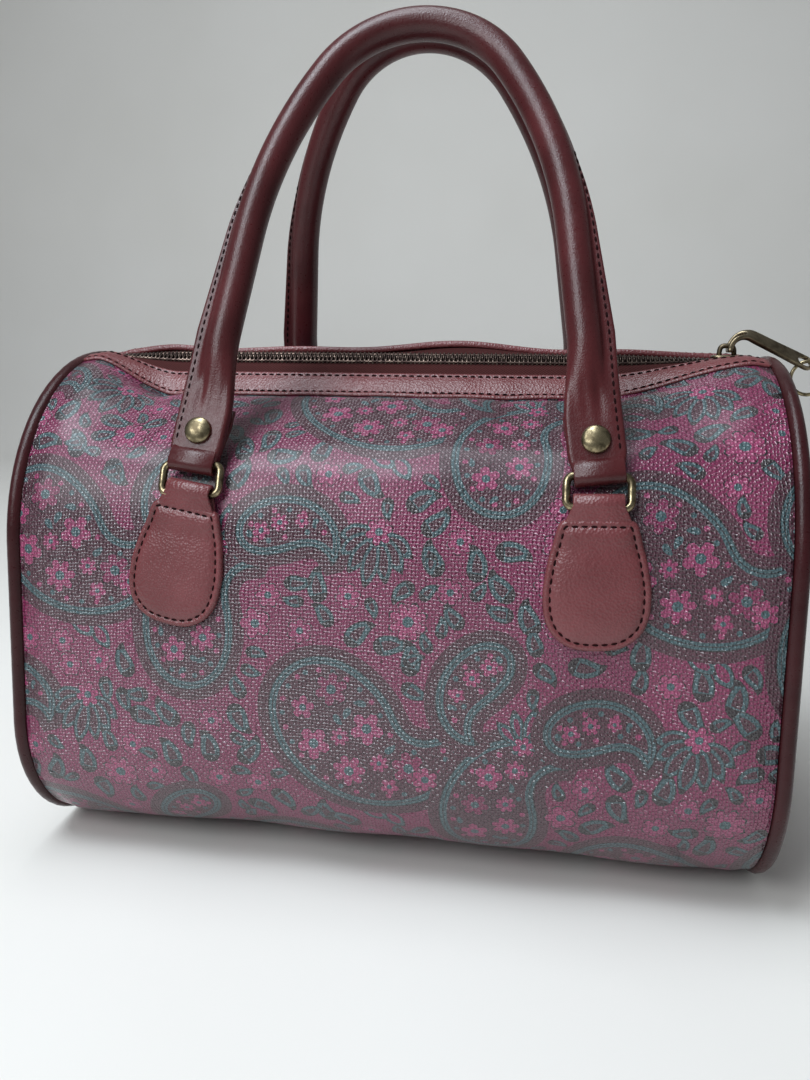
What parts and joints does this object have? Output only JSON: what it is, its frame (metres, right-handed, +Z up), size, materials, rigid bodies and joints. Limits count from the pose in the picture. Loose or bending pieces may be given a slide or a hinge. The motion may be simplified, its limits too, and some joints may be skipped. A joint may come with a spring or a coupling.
{
  "type": "boston bag",
  "caption": "Soft Boston bag of printed coated canvas with piped ends, a zip along the top, and rolled leather handles on metal rings and sewn tabs.",
  "frame": {"origin": "middle of the flat base, on the surface that the bag stands on", "axes": "+X along the bag towards the end where the zip closes, -Y towards the front, +Z up"},
  "size_m": [0.3423, 0.1906, 0.3635],
  "materials": {
    "printed_canvas": "coated canvas with a woven grain and a printed pattern",
    "leather": "semi-gloss burgundy imitation leather",
    "zip_tape": "woven tape",
    "dark_bronze": "dark aged bronze",
    "aged_brass": "antique brass plating, worn"
  },
  "bodies": {
    "bag": {"body_wrap": "printed_canvas", "piping_right": "leather", "piping_left": "leather", "end_panel_right": "printed_canvas", "end_panel_left": "printed_canvas", "zip_binding_back": "leather", "zip_binding_front": "leather", "zip_tape_back": "zip_tape", "zip_tape_front": "zip_tape", "zip_teeth_back": "dark_bronze", "zip_teeth_front": "dark_bronze", "tab_front_left": "leather", "tab_front_right": "leather", "tab_back_left": "leather", "tab_back_right": "leather"},
    "front_rings": {"ring_front_left": "aged_brass", "ring_front_right": "aged_brass"},
    "front_handle": {"handle_front": "leather", "rivets_front": "aged_brass"},
    "back_rings": {"ring_back_left": "aged_brass", "ring_back_right": "aged_brass"},
    "back_handle": {"handle_back": "leather", "rivets_back": "aged_brass"},
    "slider": {"zip_slider": "aged_brass"},
    "puller": {"zip_puller": "aged_brass"},
    "puller_ring": {"pull_ring": "aged_brass"}
  },
  "joints": [
    {"name": "front_rings_tilt", "type": "hinge", "parent": "bag", "child": "front_rings", "pos_m": [0, -0.08585, 0.1655], "axis": [1, 0, 0], "range_deg": [0, 70]},
    {"name": "front_handle_tilt", "type": "hinge", "parent": "front_rings", "child": "front_handle", "pos_m": [0, -0.08118, 0.17688], "axis": [1, 0, 0], "range_deg": [0, 100]},
    {"name": "back_rings_tilt", "type": "hinge", "parent": "bag", "child": "back_rings", "pos_m": [0, 0.08585, 0.1655], "axis": [-1, 0, 0], "range_deg": [0, 70]},
    {"name": "back_handle_tilt", "type": "hinge", "parent": "back_rings", "child": "back_handle", "pos_m": [0, 0.08118, 0.17688], "axis": [-1, 0, 0], "range_deg": [0, 100]},
    {"name": "zip_slide", "type": "slide", "parent": "bag", "child": "slider", "axis": [1, 0, 0], "range_m": [-0.275, 0], "deforming": ["zip_tape_front", "zip_tape_back", "zip_teeth_front", "zip_teeth_back"]},
    {"name": "puller_swing", "type": "hinge", "parent": "slider", "child": "puller", "pos_m": [0.1406, 0, 0.2224], "axis": [0, -1, 0], "range_deg": [0, 120]},
    {"name": "pull_ring_swing", "type": "hinge", "parent": "puller", "child": "puller_ring", "pos_m": [0.17197, 0, 0.2175], "axis": [0, -1, 0], "range_deg": [0, 40]}
  ]
}
